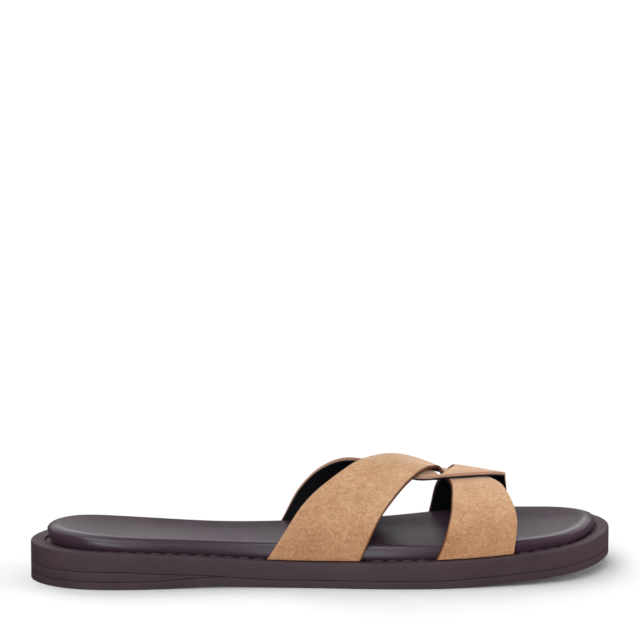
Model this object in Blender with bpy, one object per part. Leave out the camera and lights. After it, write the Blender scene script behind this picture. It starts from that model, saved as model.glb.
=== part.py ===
"""Slide sandal for the right foot: rubber sole unit, leather footbed, two linked suede straps."""
import bmesh
import bpy
import numpy as np

# Frame: X runs from heel to toe, Y from the outer side of the foot to the inner side, Z up.
# All sizes are metres. A share is a place along the sole, 0 at the heel and 1 at the toe.
LENGTH = 0.265
GAP = 0.0003

# Sole layers
OUTSOLE_THICK = 0.0035
WEDGE_HEIGHT = 0.0044
WEDGE_LEVEL_END = 0.135
WEDGE_FRONT = 0.345
LIFT_FRONT = 0.288
SOLE_EDGE_POINTS = 120
SOLE_EDGE_FINENESS = 60
MERGE_DISTANCE = 1e-6

# Underside: level at the heel and under the ball, raised at the waist and at the toe
ARCH_RISE = 0.0015
ARCH_CENTRE = 0.300
ARCH_HALF_LENGTH = 0.115
TOE_SPRING = 0.0057
TOE_SPRING_START = 0.68
TOE_SPRING_POWER = 1.2

# Straps
STRAP_THICK = 0.0018
STRAP_INSET = 0.0057
FOOT_ROUNDNESS = 2.3
CROWN_ACROSS = 0.0022
STRAP_STEPS_ALONG = 60
STRAP_STEPS_ACROSS = 10
FORM_SECTION_POINTS = 361
SLOPE_SHARE_REACH = 0.004
SLOPE_HEIGHT_REACH = 0.02

# Outer edge of the sole seen from above, once round from the back of the heel
SOLE_EDGE_COLUMNS = ("place", "share", "across")
SOLE_EDGE = (
    ("heel back", 0.000, -0.0023),
    ("heel back, outer side", 0.050, -0.0254),
    ("heel, outer side", 0.160, -0.0335),
    ("waist, outer side", 0.380, -0.0358),
    ("ball, outer side", 0.620, -0.0467),
    ("toe, outer side", 0.800, -0.0465),
    ("toe corner, outer side", 0.925, -0.0362),
    ("toe tip", 1.000, 0.0035),
    ("toe corner, inner side", 0.955, 0.0348),
    ("toe, inner side", 0.860, 0.0458),
    ("ball, inner side", 0.730, 0.0462),
    ("waist, inner side", 0.420, 0.0269),
    ("heel, inner side", 0.160, 0.0319),
    ("heel back, inner side", 0.050, 0.0254),
)

# Heights along the sole: ledge round the footbed, crest of the footbed's rolled edge, and how
# deep the footbed is dished below that crest
HEIGHT_COLUMNS = ("share", "ledge", "crest", "dish")
HEIGHTS = (
    (0.00, 0.0172, 0.0250, 0.0026),
    (0.08, 0.0167, 0.0237, 0.0028),
    (0.16, 0.0158, 0.0223, 0.0028),
    (0.24, 0.0146, 0.0212, 0.0024),
    (0.32, 0.0131, 0.0200, 0.0018),
    (0.40, 0.0117, 0.0192, 0.0014),
    (0.52, 0.0114, 0.0188, 0.0012),
    (0.64, 0.0119, 0.0184, 0.0012),
    (0.74, 0.0126, 0.0189, 0.0013),
    (0.83, 0.0141, 0.0197, 0.0013),
    (0.91, 0.0158, 0.0210, 0.0012),
    (1.00, 0.0176, 0.0232, 0.0010),
)

# Top of the foot form that the straps lie on
CROWN_COLUMNS = ("share", "height")
CROWN = (
    (0.30, 0.0560),
    (0.40, 0.0532),
    (0.50, 0.0500),
    (0.55, 0.0485),
    (0.60, 0.0476),
    (0.64, 0.0465),
    (0.67, 0.0446),
    (0.70, 0.0425),
    (0.73, 0.0414),
    (0.76, 0.0403),
    (0.80, 0.0387),
    (0.85, 0.0371),
    (0.92, 0.0352),
)

# Cross profiles: inset from the sole edge, height as a share of the layer
LAYER_COLUMNS = ("inset", "rise")
OUTSOLE_PROFILE = (
    (0.0012, 0.00),
    (0.0004, 0.12),
    (0.0000, 0.35),
    (0.0000, 0.92),
    (0.0003, 1.00),
)
LIFT_PROFILE = (
    (0.0003, 0.00),
    (0.0000, 0.08),
    (0.0000, 0.92),
    (0.0003, 1.00),
)
MIDSOLE_PROFILE = (
    (0.0003, 0.00),
    (0.0000, 0.03),
    (0.0000, 0.90),
    (0.0005, 0.965),
    (0.0014, 1.00),
    (0.0160, 1.00),
)
FOOTBED_PROFILE = (
    (0.0160, 0.00),
    (0.0066, 0.00),
    (0.0060, 0.08),
    (0.0061, 0.48),
    (0.0067, 0.72),
    (0.0079, 0.90),
    (0.0095, 0.98),
    (0.0115, 1.00),
)
# Dish of the footbed inside the crest: inset from the sole edge, share of the dish depth
DISH_COLUMNS = ("inset", "depth")
DISH_PROFILE = (
    (0.0145, 0.30),
    (0.0175, 0.68),
    (0.0205, 0.92),
)

# Straps, a row for each section from the rear foot over the top to the front foot. A height
# share is -1 at the foot on the outer side, 0 on the crown and 1 at the foot on the inner side.
# A lift is how far the section rises off the foot form to pass over the other strap.
STRAP_COLUMNS = (
    "section",
    "outer_share",
    "outer_height",
    "outer_lift",
    "inner_share",
    "inner_height",
    "inner_lift",
)
OUTER_SIDE_STRAP = (
    ("rear foot", 0.388, -1.000, 0.0000, 0.547, -1.000, 0.0000),
    ("rear low", 0.419, -0.756, 0.0000, 0.571, -0.786, 0.0000),
    ("rear middle", 0.456, -0.555, 0.0000, 0.595, -0.622, 0.0000),
    ("rear high", 0.503, -0.366, 0.0003, 0.631, -0.433, 0.0008),
    ("rear top", 0.546, -0.180, 0.0010, 0.657, -0.284, 0.0016),
    ("over the crown", 0.595, 0.050, 0.0020, 0.680, -0.112, 0.0015),
    ("bend, rear", 0.648, 0.225, 0.0021, 0.695, 0.010, 0.0009),
    ("bend", 0.703, 0.270, 0.0010, 0.702, 0.015, 0.0004),
    ("bend, front", 0.757, 0.160, 0.0001, 0.708, -0.080, 0.0000),
    ("under the crown", 0.796, -0.097, 0.0000, 0.713, -0.260, 0.0000),
    ("front high", 0.806, -0.339, 0.0000, 0.709, -0.447, 0.0000),
    ("front middle", 0.812, -0.640, 0.0000, 0.700, -0.680, 0.0000),
    ("front low", 0.809, -0.870, 0.0000, 0.684, -0.870, 0.0000),
    ("front foot", 0.804, -1.000, 0.0000, 0.668, -1.000, 0.0000),
)
INNER_SIDE_STRAP = (
    ("rear foot", 0.426, 1.000, 0.0000, 0.582, 1.000, 0.0000),
    ("rear low", 0.451, 0.757, 0.0000, 0.605, 0.780, 0.0000),
    ("rear middle", 0.475, 0.537, 0.0000, 0.625, 0.600, 0.0000),
    ("rear high", 0.503, 0.362, 0.0000, 0.650, 0.410, 0.0000),
    ("rear top", 0.537, 0.200, 0.0000, 0.671, 0.220, 0.0002),
    ("under the crown", 0.588, -0.080, 0.0004, 0.687, 0.030, 0.0004),
    ("bend, rear", 0.646, -0.312, 0.0001, 0.697, -0.100, 0.0002),
    ("bend", 0.695, -0.242, 0.0006, 0.707, -0.120, 0.0007),
    ("bend, front", 0.745, -0.160, 0.0015, 0.717, -0.050, 0.0014),
    ("over the crown", 0.806, 0.030, 0.0014, 0.731, 0.110, 0.0016),
    ("front high", 0.832, 0.412, 0.0004, 0.730, 0.350, 0.0010),
    ("front middle", 0.842, 0.630, 0.0000, 0.722, 0.560, 0.0002),
    ("front low", 0.847, 0.830, 0.0000, 0.713, 0.820, 0.0000),
    ("front foot", 0.845, 1.000, 0.0000, 0.706, 1.000, 0.0000),
)

# Base colour and roughness of each piece
FINISHES = {
    "outsole": ((0.052, 0.034, 0.042, 1.0), 0.60),
    "heel_lift": ((0.054, 0.036, 0.044, 1.0), 0.60),
    "midsole": ((0.056, 0.037, 0.045, 1.0), 0.55),
    "footbed": ((0.090, 0.078, 0.088, 1.0), 0.42),
    "upper": ((0.560, 0.330, 0.185, 1.0), 0.95),
}


def column(table, names, name):
    """Values of one named column."""
    return np.array([row[names.index(name)] for row in table], float)


def smooth_curve(places, values):
    """Natural cubic curve through the values, held level beyond its ends."""
    places = np.asarray(places, float)
    values = np.asarray(values, float)
    count = len(places)
    step = np.diff(places)
    system = np.eye(count)
    right = np.zeros(count)
    for i in range(1, count - 1):
        system[i, i - 1] = step[i - 1]
        system[i, i] = 2.0 * (step[i - 1] + step[i])
        system[i, i + 1] = step[i]
        slope_after = (values[i + 1] - values[i]) / step[i]
        slope_before = (values[i] - values[i - 1]) / step[i - 1]
        right[i] = 6.0 * (slope_after - slope_before)
    bend = np.linalg.solve(system, right)

    def curve(place):
        place = np.clip(np.asarray(place, float), places[0], places[-1])
        i = np.clip(np.searchsorted(places, place) - 1, 0, count - 2)
        after = place - places[i]
        before = places[i + 1] - place
        cubic = (bend[i] * before**3 + bend[i + 1] * after**3) / (6.0 * step[i])
        start = (values[i] / step[i] - bend[i] * step[i] / 6.0) * before
        end = (values[i + 1] / step[i] - bend[i + 1] * step[i] / 6.0) * after
        return cubic + start + end

    return curve


def smooth_loop(corners, count):
    """Closed cubic curve through the corners, as evenly spaced points."""
    corners = np.asarray(corners, float)
    total = len(corners)
    reach = np.linalg.norm(np.roll(corners, -1, 0) - corners, axis=1)
    knots = np.concatenate([[0.0], np.cumsum(np.sqrt(reach))])
    wrap = 4
    order = np.arange(-wrap, total + wrap + 1)
    places = knots[order % total] + knots[-1] * (order // total)
    fine = np.linspace(0.0, knots[-1], total * SOLE_EDGE_FINENESS)
    curves = [smooth_curve(places, corners[order % total, axis]) for axis in (0, 1)]
    dense = np.column_stack([curve(fine) for curve in curves])
    gone = np.concatenate([[0.0], np.cumsum(np.linalg.norm(np.diff(dense, axis=0), axis=1))])
    even = np.linspace(0.0, gone[-1], count, endpoint=False)
    return np.column_stack([np.interp(even, gone, dense[:, axis]) for axis in (0, 1)])


def inset_loop(loop, inset):
    """The loop moved inwards by the inset."""
    along = np.roll(loop, -1, 0) - np.roll(loop, 1, 0)
    along = along / np.linalg.norm(along, axis=1)[:, None]
    inward = np.column_stack([-along[:, 1], along[:, 0]])
    return loop + inward * inset


def share_of(x):
    return x / LENGTH + 0.5


def place_of(share):
    return (share - 0.5) * LENGTH


def ease(t):
    """0 to 1 with level ends."""
    t = np.clip(t, 0.0, 1.0)
    return t * t * (3.0 - 2.0 * t)


SOLE_LOOP = smooth_loop(
    np.column_stack(
        [
            place_of(column(SOLE_EDGE, SOLE_EDGE_COLUMNS, "share")),
            column(SOLE_EDGE, SOLE_EDGE_COLUMNS, "across"),
        ]
    ),
    SOLE_EDGE_POINTS,
)
HEIGHT_SHARES = column(HEIGHTS, HEIGHT_COLUMNS, "share")
ledge_height = smooth_curve(HEIGHT_SHARES, column(HEIGHTS, HEIGHT_COLUMNS, "ledge"))
crest_height = smooth_curve(HEIGHT_SHARES, column(HEIGHTS, HEIGHT_COLUMNS, "crest"))
dish_depth = smooth_curve(HEIGHT_SHARES, column(HEIGHTS, HEIGHT_COLUMNS, "dish"))
crown_height = smooth_curve(
    column(CROWN, CROWN_COLUMNS, "share"), column(CROWN, CROWN_COLUMNS, "height")
)


def ground_height(share):
    """Underside of the outsole above the floor."""
    arch = np.clip(1.0 - np.abs(share - ARCH_CENTRE) / ARCH_HALF_LENGTH, 0.0, 1.0)
    toe = np.clip((share - TOE_SPRING_START) / (1.0 - TOE_SPRING_START), 0.0, 1.0)
    return ARCH_RISE * ease(arch) + TOE_SPRING * toe**TOE_SPRING_POWER


def outsole_top(share):
    return ground_height(share) + OUTSOLE_THICK


def wedge_top(share):
    """Underside of the midsole: over the wedge at the heel, over the outsole in front."""
    fall = ease((share - WEDGE_LEVEL_END) / (WEDGE_FRONT - WEDGE_LEVEL_END))
    return outsole_top(share) + GAP + WEDGE_HEIGHT * (1.0 - fall)


def lift_top(share):
    return wedge_top(share) - GAP


def lift_bottom(share):
    return outsole_top(share) + GAP


def footbed_seat(share):
    return ledge_height(share) + GAP


def layer_rings(profile, low, high):
    """Rings of points round a sole layer between two height curves."""
    rings = []
    insets = column(profile, LAYER_COLUMNS, "inset")
    rises = column(profile, LAYER_COLUMNS, "rise")
    for inset, rise in zip(insets, rises):
        loop = inset_loop(SOLE_LOOP, inset)
        share = share_of(loop[:, 0])
        height = low(share) + (high(share) - low(share)) * rise
        rings.append(np.column_stack([loop, height]))
    return rings


def dish_rings():
    """Rings of the footbed's dished top inside its crest."""
    rings = []
    insets = column(DISH_PROFILE, DISH_COLUMNS, "inset")
    depths = column(DISH_PROFILE, DISH_COLUMNS, "depth")
    for inset, depth in zip(insets, depths):
        loop = inset_loop(SOLE_LOOP, inset)
        share = share_of(loop[:, 0])
        rings.append(np.column_stack([loop, crest_height(share) - dish_depth(share) * depth]))
    return rings


def close_end(bm, ring, facing_up):
    """Close a ring with strips that run from one side of the shoe to the other."""
    count = len(ring)
    for i in range(count // 2):
        corners = [ring[i], ring[i + 1], ring[(count - i - 1) % count], ring[(count - i) % count]]
        corners = list(dict.fromkeys(corners))
        if not facing_up:
            corners.reverse()
        if len(corners) > 2:
            bm.faces.new(corners)


def ring_solid(name, rings):
    """Closed solid through rings listed from the underside to the top."""
    bm = bmesh.new()
    loops = [[bm.verts.new(point) for point in ring] for ring in rings]
    count = len(loops[0])
    for lower, upper in zip(loops, loops[1:]):
        for i in range(count):
            j = (i + 1) % count
            bm.faces.new((lower[i], lower[j], upper[j], upper[i]))
    close_end(bm, loops[0], False)
    close_end(bm, loops[-1], True)
    return finish(name, bm)


def finish(name, bm):
    """Turn the mesh into a named object with its own material."""
    bmesh.ops.remove_doubles(bm, verts=bm.verts[:], dist=MERGE_DISTANCE)
    bmesh.ops.recalc_face_normals(bm, faces=bm.faces[:])
    mesh = bpy.data.meshes.new(name)
    bm.to_mesh(mesh)
    bm.free()
    thing = bpy.data.objects.new(name, mesh)
    bpy.context.scene.collection.objects.link(thing)
    return thing


def paint(thing):
    colour, roughness = FINISHES[thing.name]
    material = bpy.data.materials.new(thing.name)
    material.use_nodes = True
    shader = material.node_tree.nodes["Principled BSDF"]
    shader.inputs["Base Color"].default_value = colour
    shader.inputs["Roughness"].default_value = roughness
    thing.data.materials.clear()
    thing.data.materials.append(material)


def side_edges(inset):
    """Across position of the inset sole edge on the outer and the inner side, as curves of X."""
    loop = inset_loop(SOLE_LOOP, inset)
    toe = int(np.argmax(loop[:, 0]))
    outer = loop[1:toe]
    inner = loop[toe:][::-1]

    def edges(x):
        return np.interp(x, outer[:, 0], outer[:, 1]), np.interp(x, inner[:, 0], inner[:, 1])

    return edges


FORM_EDGES = side_edges(STRAP_INSET)


def form_section(x):
    """One section across the foot form, from the outer foot over the crown to the inner foot."""
    outer, inner = FORM_EDGES(x)
    base = float(footbed_seat(share_of(x)))
    rise = float(crown_height(share_of(x))) - base
    turn = np.linspace(0.0, np.pi, FORM_SECTION_POINTS)
    power = 2.0 / FOOT_ROUNDNESS
    reach = np.where(turn < np.pi / 2.0, CROWN_ACROSS - outer, inner - CROWN_ACROSS)
    across = CROWN_ACROSS - np.sign(np.cos(turn)) * reach * np.abs(np.cos(turn)) ** power
    height = base + rise * np.abs(np.sin(turn)) ** power
    gone = np.concatenate([[0.0], np.cumsum(np.hypot(np.diff(across), np.diff(height)))])
    crown = gone[len(turn) // 2]
    side_length = np.where(gone < crown, crown, gone[-1] - crown)
    return (gone - crown) / side_length, across, height


def form_point(share, height_share):
    x = place_of(share)
    shares, across, height = form_section(x)
    y = np.interp(height_share, shares, across)
    z = np.interp(height_share, shares, height)
    return np.array([x, y, z])


def form_normal(share, height_share):
    """Direction out of the foot form."""
    behind = form_point(share - SLOPE_SHARE_REACH, height_share)
    ahead = form_point(share + SLOPE_SHARE_REACH, height_share)
    low = max(height_share - SLOPE_HEIGHT_REACH, -1.0)
    high = min(height_share + SLOPE_HEIGHT_REACH, 1.0)
    over = form_point(share, high) - form_point(share, low)
    out = np.cross(ahead - behind, over)
    return out / np.linalg.norm(out)


def strap(name, table):
    """A strap as a thin solid: a grid laid on the foot form, then thickened outwards."""
    steps = np.arange(len(table))
    curves = {
        key: smooth_curve(steps, column(table, STRAP_COLUMNS, key)) for key in STRAP_COLUMNS[1:]
    }
    bm = bmesh.new()
    bmesh.ops.create_grid(
        bm, x_segments=STRAP_STEPS_ALONG, y_segments=STRAP_STEPS_ACROSS, size=0.5
    )
    for vertex in bm.verts:
        along = (vertex.co.x + 0.5) * (len(table) - 1)
        across = vertex.co.y + 0.5
        outer = np.array([curves["outer_" + key](along) for key in ("share", "height", "lift")])
        inner = np.array([curves["inner_" + key](along) for key in ("share", "height", "lift")])
        share, height_share, lift = outer + (inner - outer) * across
        height_share = float(np.clip(height_share, -1.0, 1.0))
        point = form_point(share, height_share)
        vertex.co = point + form_normal(share, height_share) * max(lift, 0.0)
    thing = finish(name, bm)
    middle = min(thing.data.polygons, key=lambda face: abs(face.center.y - CROWN_ACROSS))
    if middle.normal.z < 0.0:
        thing.data.flip_normals()
    wall = thing.modifiers.new("wall", "SOLIDIFY")
    wall.thickness = STRAP_THICK
    wall.offset = 1.0
    return thing


def cut_front(thing, share):
    """Cut a sole layer off square in front of a share of the length."""
    bm = bmesh.new()
    bm.from_mesh(thing.data)
    parts = bm.verts[:] + bm.edges[:] + bm.faces[:]
    cut = bmesh.ops.bisect_plane(
        bm,
        geom=parts,
        plane_co=(place_of(share), 0.0, 0.0),
        plane_no=(1.0, 0.0, 0.0),
        clear_outer=True,
    )
    rim = [part for part in cut["geom_cut"] if isinstance(part, bmesh.types.BMEdge)]
    bmesh.ops.contextual_create(bm, geom=rim)
    bmesh.ops.recalc_face_normals(bm, faces=bm.faces[:])
    bm.to_mesh(thing.data)
    bm.free()


def join_straps():
    """The upper: both straps joined where they cross."""
    upper = strap("upper", OUTER_SIDE_STRAP)
    other = strap("inner_side_strap", INNER_SIDE_STRAP)
    union = upper.modifiers.new("crossing", "BOOLEAN")
    union.operation = "UNION"
    union.solver = "EXACT"
    union.object = other
    other.hide_render = True
    other.display_type = "WIRE"
    return upper


def main():
    for old in list(bpy.data.objects):
        bpy.data.objects.remove(old, do_unlink=True)
    pieces = [ring_solid("outsole", layer_rings(OUTSOLE_PROFILE, ground_height, outsole_top))]
    lift = ring_solid("heel_lift", layer_rings(LIFT_PROFILE, lift_bottom, lift_top))
    cut_front(lift, LIFT_FRONT)
    pieces.append(lift)
    pieces.append(ring_solid("midsole", layer_rings(MIDSOLE_PROFILE, wedge_top, ledge_height)))
    footbed = layer_rings(FOOTBED_PROFILE, footbed_seat, crest_height) + dish_rings()
    pieces.append(ring_solid("footbed", footbed))
    pieces.append(join_straps())
    for piece in pieces:
        paint(piece)


if __name__ == "__main__":
    main()
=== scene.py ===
import math

import bmesh
import bpy
import numpy as np
from mathutils import Matrix, Vector


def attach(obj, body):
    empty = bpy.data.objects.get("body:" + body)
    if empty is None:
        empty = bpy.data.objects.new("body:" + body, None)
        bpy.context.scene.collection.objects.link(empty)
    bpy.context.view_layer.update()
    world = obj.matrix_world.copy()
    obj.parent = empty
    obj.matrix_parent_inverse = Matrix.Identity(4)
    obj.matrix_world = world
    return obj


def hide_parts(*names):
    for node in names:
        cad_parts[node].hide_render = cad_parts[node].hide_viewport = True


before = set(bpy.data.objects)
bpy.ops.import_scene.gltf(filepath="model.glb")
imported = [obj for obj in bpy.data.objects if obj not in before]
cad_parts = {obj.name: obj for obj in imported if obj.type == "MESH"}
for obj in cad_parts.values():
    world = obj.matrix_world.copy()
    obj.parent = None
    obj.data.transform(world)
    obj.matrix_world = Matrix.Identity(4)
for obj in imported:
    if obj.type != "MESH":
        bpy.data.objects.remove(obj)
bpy.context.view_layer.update()        # outsole, heel lift, midsole, footbed and upper of the packed sandal

# Frame: X runs from heel to toe, Y from the outer side of the foot to the inner side, Z up.
# All sizes are metres. A share is a place along the sole, 0 at the heel and 1 at the toe.
LENGTH = 0.265
MERGE_DISTANCE = 1e-6
SHARP_ANGLE = math.radians(50.0)

# How finely the sole's edge is drawn, and its layers are closed and rounded
EDGE_POINTS = 300
EDGE_FINENESS = 60
LOOP_OVERLAP = 4
STRIP_CUTS = 9
SEAM_SEGMENTS = 3
LEDGE_SEGMENTS = 4

# Layers of the sole unit: outsole, wedge at the heel, arch and toe spring of the underside
OUTSOLE_THICK = 0.0035
WEDGE_HEIGHT = 0.0044
WEDGE_LEVEL_END = 0.135
WEDGE_FRONT = 0.345
LIFT_FRONT = 0.334
ARCH_RISE = 0.0015
ARCH_CENTRE = 0.300
ARCH_HALF_LENGTH = 0.115
TOE_SPRING = 0.0057
TOE_SPRING_START = 0.68
TOE_SPRING_POWER = 1.2
SEAM_GAP = 0.00025
FOOTBED_GAP = 0.0001
GROUND_ROUNDING = 0.0010
SEAM_ROUNDING = 0.00022
LEDGE_ROUNDING = 0.0010

# Outer edge of the sole seen from above, once round from the back of the heel
SOLE_EDGE_COLUMNS = ("place", "share", "across")
SOLE_EDGE = (
    ("heel back", 0.000, -0.0023),
    ("heel back, outer side", 0.050, -0.0254),
    ("heel, outer side", 0.160, -0.0335),
    ("waist, outer side", 0.380, -0.0358),
    ("ball, outer side", 0.620, -0.0467),
    ("toe, outer side", 0.800, -0.0465),
    ("toe corner, outer side", 0.925, -0.0362),
    ("toe tip", 1.000, 0.0035),
    ("toe corner, inner side", 0.955, 0.0348),
    ("toe, inner side", 0.860, 0.0458),
    ("ball, inner side", 0.730, 0.0462),
    ("waist, inner side", 0.420, 0.0269),
    ("heel, inner side", 0.160, 0.0319),
    ("heel back, inner side", 0.050, 0.0254),
)

# Heights along the sole: ledge round the footbed, crest of the footbed's rolled edge, how far the
# footbed's top swells above that crest, how far its inner edge is let down, how wide its edge
# rolls over, how far its side stands in from the sole's edge, and how far that side tucks in
HEIGHT_COLUMNS = ("share", "ledge", "crest", "swell", "drop", "roll", "side", "tuck")
HEIGHTS = (
    (0.00, 0.0172, 0.0250, 0.0005, 0.0000, 0.0062, 0.0074, 0.0011),
    (0.08, 0.0167, 0.0237, 0.0006, 0.0000, 0.0058, 0.0069, 0.0003),
    (0.16, 0.0158, 0.0223, 0.0007, 0.0003, 0.0050, 0.0064, 0.0000),
    (0.24, 0.0146, 0.0212, 0.0007, 0.0007, 0.0038, 0.0061, 0.0000),
    (0.32, 0.0131, 0.0200, 0.0006, 0.0008, 0.0028, 0.0060, 0.0000),
    (0.40, 0.0117, 0.0192, 0.0005, 0.0006, 0.0022, 0.0060, 0.0000),
    (0.52, 0.0114, 0.0188, 0.0004, 0.0010, 0.0020, 0.0060, 0.0000),
    (0.64, 0.0119, 0.0184, 0.0004, 0.0014, 0.0019, 0.0060, 0.0000),
    (0.74, 0.0126, 0.0189, 0.0005, 0.0013, 0.0024, 0.0060, 0.0001),
    (0.83, 0.0141, 0.0197, 0.0006, 0.0012, 0.0040, 0.0062, 0.0003),
    (0.91, 0.0158, 0.0210, 0.0006, 0.0014, 0.0060, 0.0066, 0.0002),
    (1.00, 0.0176, 0.0232, 0.0005, 0.0010, 0.0080, 0.0068, 0.0000),
)
# Where the inner edge begins to be let down and where it is down in full, across the shoe
DROP_FROM, DROP_TO = -0.005, 0.030

# Channel in the ledge round the footbed: its width at the waist, how much of the room beyond
# that it takes up at the ends, how far it runs in under the footbed, its depth, and its thread
CHANNEL_WIDTH = 0.0007
CHANNEL_WAIST_SIDE = 0.0060
CHANNEL_SPARE = 0.25
CHANNEL_SLANT = 0.0002
CHANNEL_UNDER = 0.0040
CHANNEL_DEPTH = 0.0010
LIP_ROUNDING = 0.0004
STITCH_PITCH = 0.0066
STITCH_LENGTH = 0.0046
STITCH_WIDTH = 0.0008
STITCH_PLACE = 0.5
STITCH_RISE = -0.0001
STITCH_SINK = 0.5
STITCHED_FROM, STITCHED_TO = 0.095, 0.900
STITCH_SLANT = math.radians(7.0)
STITCH_CLEARANCE = 0.008
STITCH_FACES_ROUND, STITCH_FACES_ALONG = 12, 8
SLOPE_STEP = 0.002

# Footbed edge from the underside in the channel to the crest: inset beyond the footbed's side,
# shares of the tuck and of the roll's width added to it, and height as a share of the whole
FOOTBED_EDGE = (
    (0.0016, 1.00, 0.00, 0.00),
    (0.0006, 1.00, 0.00, 0.05),
    (0.0002, 0.96, 0.00, 0.15),
    (0.0001, 0.82, 0.00, 0.27),
    (0.0000, 0.58, 0.00, 0.40),
    (0.0000, 0.30, 0.00, 0.52),
    (0.0000, 0.09, 0.00, 0.63),
    (0.0000, 0.00, 0.02, 0.73),
    (0.0000, 0.00, 0.11, 0.84),
    (0.0000, 0.00, 0.26, 0.923),
    (0.0000, 0.00, 0.47, 0.970),
    (0.0000, 0.00, 0.72, 0.992),
    (0.0000, 0.00, 1.00, 1.00),
)
# Rings on the top inside the crest, and how sharply the swell of the top ends at heel and toe
TOP_RINGS = (0.0014, 0.0032, 0.0054, 0.0076, 0.0096, 0.0110)
SWELL_POWER = 6

# Foot form that the straps lie on
STRAP_INSET = 0.0057
STRAP_FOOT_GAP = 0.0003
FOOT_ROUNDNESS = 2.3
CROWN_ACROSS = 0.0022
FORM_SECTION_POINTS = 361
FORM_START, FORM_END, FORM_STATIONS = 0.30, 0.95, 131
FORM_STEPS = 201
CROWN_COLUMNS = ("share", "height")
CROWN = (
    (0.30, 0.0556),
    (0.40, 0.0528),
    (0.50, 0.0496),
    (0.55, 0.0481),
    (0.60, 0.0468),
    (0.64, 0.0459),
    (0.67, 0.0437),
    (0.70, 0.0413),
    (0.73, 0.0403),
    (0.76, 0.0394),
    (0.80, 0.0378),
    (0.85, 0.0357),
    (0.92, 0.0335),
)

# Straps: a lining with suede on it, a row for each section from the rear foot over the top to the
# front foot. A height share is -1 at the foot on the outer side, 0 on the crown and 1 at the foot
# on the inner side. A lift is how far the section rises off the form over the other strap.
LINING_THICK = 0.00075
SUEDE_THICK = 0.00130
LAYER_GAP = 0.00002
CUT_ROUNDING = 0.00025
CUT_SEGMENTS = 2
STRAP_STEPS_ALONG = 170
STRAP_STEPS_ACROSS = 30
GRID_HALF = 0.5
STRAP_COLUMNS = (
    "section",
    "outer_share",
    "outer_height",
    "outer_lift",
    "inner_share",
    "inner_height",
    "inner_lift",
)
OUTER_SIDE_STRAP = (
    ("rear foot", 0.392, -1.000, 0.0004, 0.548, -1.000, 0.0004),
    ("rear low", 0.428, -0.756, 0.0003, 0.571, -0.786, 0.0003),
    ("rear middle", 0.463, -0.555, 0.0000, 0.595, -0.622, 0.0000),
    ("rear high", 0.509, -0.366, 0.0003, 0.631, -0.433, 0.0016),
    ("rear top", 0.549, -0.180, 0.0014, 0.657, -0.284, 0.0028),
    ("over the crown", 0.595, 0.050, 0.0023, 0.680, -0.112, 0.0028),
    ("bend, rear", 0.648, 0.225, 0.0028, 0.695, 0.010, 0.0025),
    ("bend", 0.703, 0.270, 0.0008, 0.702, 0.015, 0.0018),
    ("bend, front", 0.757, 0.160, 0.0001, 0.708, -0.080, 0.0000),
    ("under the crown", 0.796, -0.097, 0.0000, 0.713, -0.260, 0.0000),
    ("front high", 0.806, -0.339, 0.0000, 0.709, -0.447, 0.0000),
    ("front middle", 0.812, -0.640, 0.0000, 0.700, -0.680, 0.0000),
    ("front low", 0.809, -0.870, 0.0003, 0.686, -0.870, 0.0003),
    ("front foot", 0.804, -1.000, 0.0004, 0.672, -1.000, 0.0004),
)
INNER_SIDE_STRAP = (
    ("rear foot", 0.426, 1.000, 0.0004, 0.582, 1.000, 0.0004),
    ("rear low", 0.451, 0.757, 0.0003, 0.605, 0.780, 0.0003),
    ("rear middle", 0.475, 0.537, 0.0000, 0.625, 0.600, 0.0000),
    ("rear high", 0.503, 0.362, 0.0000, 0.650, 0.410, 0.0000),
    ("rear top", 0.537, 0.200, 0.0000, 0.671, 0.220, 0.0000),
    ("under the crown", 0.588, -0.080, 0.0000, 0.687, 0.030, 0.0000),
    ("bend, rear", 0.646, -0.312, 0.0004, 0.697, -0.170, 0.0004),
    ("bend", 0.695, -0.242, 0.0021, 0.707, -0.150, 0.0018),
    ("bend, front", 0.745, -0.160, 0.0027, 0.717, -0.050, 0.0025),
    ("over the crown", 0.808, 0.060, 0.0024, 0.731, 0.110, 0.0027),
    ("front high", 0.829, 0.360, 0.0004, 0.730, 0.350, 0.0014),
    ("front middle", 0.838, 0.630, 0.0000, 0.722, 0.560, 0.0002),
    ("front low", 0.845, 0.830, 0.0003, 0.713, 0.820, 0.0003),
    ("front foot", 0.845, 1.000, 0.0004, 0.706, 1.000, 0.0004),
)

# Creases worked into the straps by wear: soft ridges, and troughs with a negative rise, each along
# a line between two places on the foot form
FOLD_COLUMNS = (
    "fold",
    "strap",
    "from_share",
    "from_height",
    "to_share",
    "to_height",
    "width",
    "rise",
)
FOLDS = (
    ("front leg, ridge where it turns down", "outer", 0.715, -0.80, 0.805, -0.74, 0.0060, 0.0008),
    ("front leg, trough under the ridge", "outer", 0.690, -0.94, 0.800, -0.93, 0.0045, -0.0004),
    ("front leg, trough at the rear edge", "outer", 0.705, -0.52, 0.735, -0.40, 0.0035, -0.0003),
    ("rear leg, ridge along the front edge", "outer", 0.615, -0.44, 0.668, -0.16, 0.0035, 0.0004),
    ("rear leg, trough at the foot", "outer", 0.415, -0.93, 0.545, -0.93, 0.0060, -0.0004),
    ("rear leg, ridge over the trough", "outer", 0.470, -0.66, 0.560, -0.64, 0.0070, 0.0003),
    ("inner rear leg, ridge", "inner", 0.480, 0.66, 0.610, 0.62, 0.0060, 0.0005),
    ("inner rear leg, trough", "inner", 0.450, 0.86, 0.590, 0.83, 0.0050, -0.0004),
    ("inner front leg, ridge", "inner", 0.725, 0.68, 0.830, 0.64, 0.0050, 0.0005),
    ("inner front leg, trough", "inner", 0.715, 0.87, 0.840, 0.84, 0.0045, -0.0004),
    ("inner front leg, ridge to the link", "inner", 0.742, 0.20, 0.805, 0.30, 0.0040, 0.0003),
)

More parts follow.
